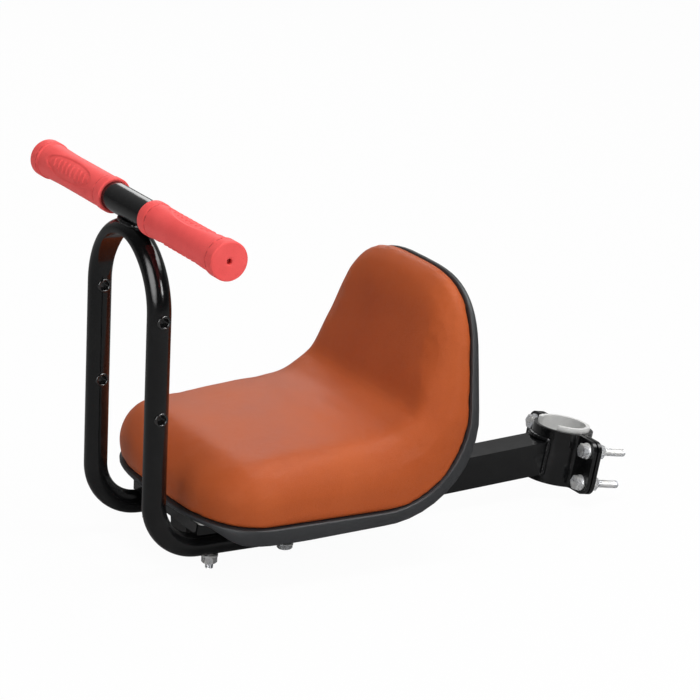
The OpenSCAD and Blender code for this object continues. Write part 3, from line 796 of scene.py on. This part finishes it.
def clamp_fasteners():
    """Four bolts through the clamp's ears, each with a nut and two washers."""
    bolts = Surface()
    nuts = Surface()
    washers = Surface()
    for place in clamp_bolt_places():
        for surface in (bolts, nuts, washers):
            surface.place = place
        hex_head(bolts, CLAMP_HEAD_SEAT - HEAD_T, CLAMP_HEAD_SEAT)
        threaded_rod(bolts, CLAMP_HEAD_SEAT - 0.1, CLAMP_BOLT_END, CLAMP_NUT_SEAT - 1)
        hex_nut(nuts, CLAMP_NUT_SEAT, CLAMP_NUT_SEAT + NUT_T)
        washer(washers, CLAMP_HEAD_SEAT)
        washer(washers, CLAMP_NUT_SEAT - WASHER_T)
    bolts.piece("clamp_bolt_set", plate, "zinc", ["clamp_bolts"])
    nuts.piece("clamp_nut_set", plate, "zinc", ["clamp_nuts"])
    washers.piece("clamp_washer_set", plate, "zinc", ["clamp_washers"])


def leg_bush_set():
    """Bushes through the legs, turned, with a soft lip round each end of the bore."""
    bushes = Surface()
    for low, high in loose_boxes("hoop_bushes"):
        middle = (low + high) / 2
        half = (high.x - low.x) / 2
        outer = (high.z - low.z) / 2
        inner = BUSH_BORE_D / 2
        lip = BUSH_LIP
        profile = [(outer, 0.0), (outer, half - 0.35), (outer - 0.3, half)]
        profile += [(inner + lip * (1 - math.sin(t)), half - lip * (1 - math.cos(t)))
                    for t in (TAU / 4 * k / 6 for k in range(7))]
        profile += [(inner, 0.0)]
        profile += [(radius, -along) for radius, along in reversed(profile[1:-1])]
        bushes.place = Matrix.Translation(middle) @ Matrix.Rotation(math.radians(90), 4, "Y")
        bushes.rings([circle(radius, along) for radius, along in reversed(profile)], closed=True)
    bushes.piece("leg_bush_set", lip_paint, "black_paint", ["hoop_bushes"], sharp=50)


def seat_nut_set():
    nuts = Surface()
    for low, high in loose_boxes("seat_nuts"):
        nuts.place = Matrix.Translation(((low.x + high.x) / 2, (low.y + high.y) / 2, low.z))
        hex_nut(nuts, 0, high.z - low.z)
    nuts.piece("seat_nut_set", plate, "zinc", ["seat_nuts"])


def loose_boxes(name):
    """Boxes, in mm, of the separate solids of a CAD node."""
    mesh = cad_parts[name].data
    owner = {}

    def key(vertex):
        return tuple(round(c * 1e5) for c in vertex.co)

    def root(k):
        while owner[k] != k:
            owner[k] = owner[owner[k]]
            k = owner[k]
        return k

    for vertex in mesh.vertices:
        owner.setdefault(key(vertex), key(vertex))
    for edge in mesh.edges:
        a, b = (root(key(mesh.vertices[v])) for v in edge.vertices)
        owner[a] = b
    groups = {}
    for vertex in mesh.vertices:
        groups.setdefault(root(key(vertex)), []).append(vertex.co / MM)
    for points in groups.values():
        low = Vector(min(p[k] for p in points) for k in range(3))
        high = Vector(max(p[k] for p in points) for k in range(3))
        yield low, high


# Weld beads: overlapping scales along the joint

BEAD_SIDES = 14
SCALE_LEN = 2.6
SCALE_SWELL = 0.1
LUMP_SIZE = 0.16
BAR_BEAD_R = 2.1
BAR_BEAD_REACH_X = 15.5
BAR_BEAD_REACH_Y = 6.1
BAR_BEAD_LIFT = 1.1
BAR_BEAD_POINTS = 96
BEAM_BEAD_R = 2.3
BEAM_BEAD_STEP = 0.6


def weld_bead(surface, path, radius):
    """A closed bead along path; its size rises and falls once per scale."""
    count = len(path)
    rings = []
    length = 0.0
    for i in range(count):
        before = Vector(path[i - 1])
        here = Vector(path[i])
        after = Vector(path[(i + 1) % count])
        length += (here - before).length if i else 0.0
        tangent = (after - before).normalized()
        side = tangent.cross(Vector((0, 0, 1)))
        side = side.normalized() if side.length > 0.2 else tangent.cross(Vector((0, 1, 0))).normalized()
        up = side.cross(tangent)
        phase = length / SCALE_LEN % 1
        lump = noise.noise(here * 0.35) * LUMP_SIZE
        r = radius * (0.9 + SCALE_SWELL * math.sqrt(phase) + lump)
        turns = [TAU * k / BEAD_SIDES for k in range(BEAD_SIDES)]
        rings.append([here + side * r * math.cos(t) + up * r * math.sin(t) for t in turns])
    surface.rings(rings, closed=True)


def even_points(corners, step):
    """Points a step apart along the closed line through corners."""
    points = []
    for a, b in zip(corners, corners[1:] + corners[:1]):
        a = Vector(a)
        b = Vector(b)
        parts = max(1, round((b - a).length / step))
        points += [a.lerp(b, k / parts) for k in range(parts)]
    return points


def bar_weld_bead():
    low, high = [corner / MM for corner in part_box("bar_weld")]
    middle_y = (low.y + high.y) / 2
    arch_r = LEG_PITCH / 2
    arch_z = BAR_Z - arch_r - (HOOP_TUBE_D + BAR_D) / 2 + BAR_SEAT
    path = []
    for k in range(BAR_BEAD_POINTS):
        turn = TAU * k / BAR_BEAD_POINTS
        x = BAR_BEAD_REACH_X * math.cos(turn)
        y = BAR_BEAD_REACH_Y * math.sin(turn)
        crown = math.sqrt(arch_r * arch_r - x * x) + math.sqrt((HOOP_TUBE_D / 2) ** 2 - y * y)
        path.append((x, middle_y + y, arch_z + crown + BAR_BEAD_LIFT))
    bead = Surface()
    weld_bead(bead, path, BAR_BEAD_R)
    bead.piece("bar_weld_bead", weld_paint, "black_paint", ["bar_weld"], sharp=70)


def beam_weld_bead():
    low, high = [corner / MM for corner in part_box("beam_weld")]
    half = BEAM_W / 2
    lean = math.radians(POST_LEAN)
    joint_y = -math.sqrt(CLAMP_R ** 2 - half ** 2)
    middle = ((low.z + high.z) / 2 + joint_y * math.sin(lean)) / math.cos(lean)
    reach = half / math.cos(math.radians(POST_LEAN + BEAM_PITCH)) + 0.2
    levels = [middle - reach, middle + reach]
    corners = []
    for side, level in zip((1, -1), levels):
        for k in range(9):
            x = side * half * (k / 4 - 1)
            corners.append((x, -math.sqrt(CLAMP_R ** 2 - x * x), level))
    path = even_points(corners, BEAM_BEAD_STEP)
    bead = Surface(clamp_place)
    weld_bead(bead, path, BEAM_BEAD_R)
    bead.piece("beam_weld_bead", weld_paint, "black_paint", ["beam_weld"], sharp=70)


# Camera and studio

AIM = (0, -0.2, 0.1)
AMBIENT = 0.42
FLOOR_WHITE = 0.965
FLOOR_REACH = 12.0
FLOOR_DROP = 0.0005
FLOOR_LIT = (0.8, 0.8, 0.8)
FLOOR_MIRRORED = (0.3, 0.3, 0.3)
FAR_SIDE = (-0.87, 0.5, 0.35)
NEAR_MIRRORED = 0.04
FAR_MIRRORED = 0.3
FAR_SIDE_RANGE = (0.35, 1.1)
HIGHLIGHT_RANGE = (0.87, 0.96)

# Direction and strength of each bright patch that only reflections show
HIGHLIGHTS = (
    ((0.33, -0.87, 0.37), 5.0),
    ((0.06, 0.48, 0.87), 6.5),
)

# Name, place, width, height and watts
SOFTBOXES = (
    ("top_box", (0.2, 0.0, 1.7), 0.6, 0.6, 12.5),
    ("camera_box", (1.7, 0.1, 1.0), 0.4, 0.6, 11),
    ("front_box", (0.5, -1.8, 0.9), 1.0, 1.0, 3),
    ("far_box", (-1.5, 0.4, 0.9), 0.4, 1.0, 3),
)

PHOTO_FOCAL_PX = 3342.77
PHOTO_WIDTH_PX = 700
SENSOR_MM = 36
CAMERA_PLACE = (2.03234, -1.35650, 0.83882)
CAMERA_AZIMUTH = 60.12
CAMERA_ELEVATION = 17.41
CAMERA_ROLL = 2.685


def photo_camera():
    azimuth = math.radians(CAMERA_AZIMUTH)
    elevation = math.radians(CAMERA_ELEVATION)
    view = Vector((-math.sin(azimuth) * math.cos(elevation), math.cos(azimuth) * math.cos(elevation),
                   -math.sin(elevation)))
    level_right = Vector((math.cos(azimuth), math.sin(azimuth), 0))
    level_up = level_right.cross(view)
    roll = math.radians(CAMERA_ROLL)
    right = level_right * math.cos(roll) + level_up * math.sin(roll)
    up = level_up * math.cos(roll) - level_right * math.sin(roll)
    lens = bpy.data.cameras.new("photo_camera")
    lens.sensor_width = SENSOR_MM
    lens.lens = SENSOR_MM * PHOTO_FOCAL_PX / PHOTO_WIDTH_PX
    camera = bpy.data.objects.new("photo_camera", lens)
    axes = Matrix((right, up, -view)).transposed().to_4x4()
    camera.matrix_world = Matrix.Translation(CAMERA_PLACE) @ axes
    bpy.context.scene.collection.objects.link(camera)
    bpy.context.scene.camera = camera


def light_path(tree):
    """1 where a reflection looks, and 1 where the camera looks, straight or through something clear."""
    rays = node(tree, "ShaderNodeLightPath", {})
    direct = {0: rays.outputs["Is Camera Ray"], 1: rays.outputs["Is Transmission Ray"]}
    clear = node(tree, "ShaderNodeMath", direct, operation="MAXIMUM").outputs[0]
    return rays.outputs["Is Glossy Ray"], clear


def studio_floor():
    """Nearly white where the camera sees it, pale grey for light on the object, darker in reflections."""
    material = bpy.data.materials.new("pale_floor")
    material.use_nodes = True
    tree = material.node_tree
    tree.nodes.clear()
    mirrored, clear = light_path(tree)
    share = node(tree, "ShaderNodeMath", {0: clear, 1: FLOOR_WHITE}, operation="MULTIPLY")
    tone = mix(tree, mirrored, FLOOR_LIT, FLOOR_MIRRORED)
    lit = node(tree, "ShaderNodeBsdfDiffuse", {"Color": tone})
    glow = node(tree, "ShaderNodeEmission", {"Color": (1, 1, 1, 1), "Strength": 1.0})
    both = node(tree, "ShaderNodeMixShader", {0: share.outputs[0], 1: lit.outputs[0], 2: glow.outputs[0]})
    node(tree, "ShaderNodeOutputMaterial", {"Surface": both.outputs[0]})
    level = cad_low.z - FLOOR_DROP
    corners = [(x * FLOOR_REACH, y * FLOOR_REACH, level) for x, y in ((-1, -1), (1, -1), (1, 1), (-1, 1))]
    mesh = bpy.data.meshes.new("pale_floor")
    mesh.from_pydata(corners, [], [(0, 1, 2, 3)])
    mesh.materials.append(material)
    floor = bpy.data.objects.new("pale_floor", mesh)
    bpy.context.scene.collection.objects.link(floor)


def studio_world():
    """White behind the object, one level for its light; reflections are dark with a paler far side."""
    world = bpy.data.worlds.new("studio")
    world.use_nodes = True
    tree = world.node_tree
    tree.nodes.clear()
    mirrored, clear = light_path(tree)
    facing = node(tree, "ShaderNodeTexCoord", {}).outputs["Generated"]
    behind = node(tree, "ShaderNodeVectorMath", {0: facing, 1: FAR_SIDE}, operation="DOT_PRODUCT")
    backdrop = spread(tree, behind.outputs["Value"], NEAR_MIRRORED, FAR_MIRRORED, *FAR_SIDE_RANGE)
    for direction, highlight in HIGHLIGHTS:
        towards = node(tree, "ShaderNodeVectorMath", {0: facing, 1: direction}, operation="DOT_PRODUCT")
        patch = spread(tree, towards.outputs["Value"], 0.0, highlight, *HIGHLIGHT_RANGE)
        backdrop = node(tree, "ShaderNodeMath", {0: backdrop, 1: patch}, operation="ADD").outputs[0]
    inner = node(tree, "ShaderNodeMix", {0: mirrored, 2: AMBIENT, 3: backdrop}).outputs[0]
    level = node(tree, "ShaderNodeMix", {0: clear, 2: inner, 3: 1.0}).outputs[0]
    glow = node(tree, "ShaderNodeBackground", {"Color": (1, 1, 1, 1), "Strength": level})
    node(tree, "ShaderNodeOutputWorld", {"Surface": glow.outputs[0]})
    bpy.context.scene.world = world


def softbox(name, place, width, height, watts):
    light = bpy.data.lights.new(name, "AREA")
    light.shape = "RECTANGLE"
    light.size = width
    light.size_y = height
    light.energy = watts
    lamp = bpy.data.objects.new(name, light)
    aim = (Vector(AIM) - Vector(place)).to_track_quat("-Z", "Y")
    lamp.matrix_world = Matrix.Translation(place) @ aim.to_matrix().to_4x4()
    bpy.context.scene.collection.objects.link(lamp)


bpy.context.scene.view_settings.view_transform = "Standard"
photo_camera()
studio_world()
studio_floor()
for row in SOFTBOXES:
    softbox(*row)
leather_pad()
shell_moulding()
grip("left_grip", 1, LEFT_TWIST)
grip("right_grip", -1, RIGHT_TWIST)
clamp_fasteners()
seat_nut_set()
leg_bush_set()
bar_weld_bead()
beam_weld_bead()
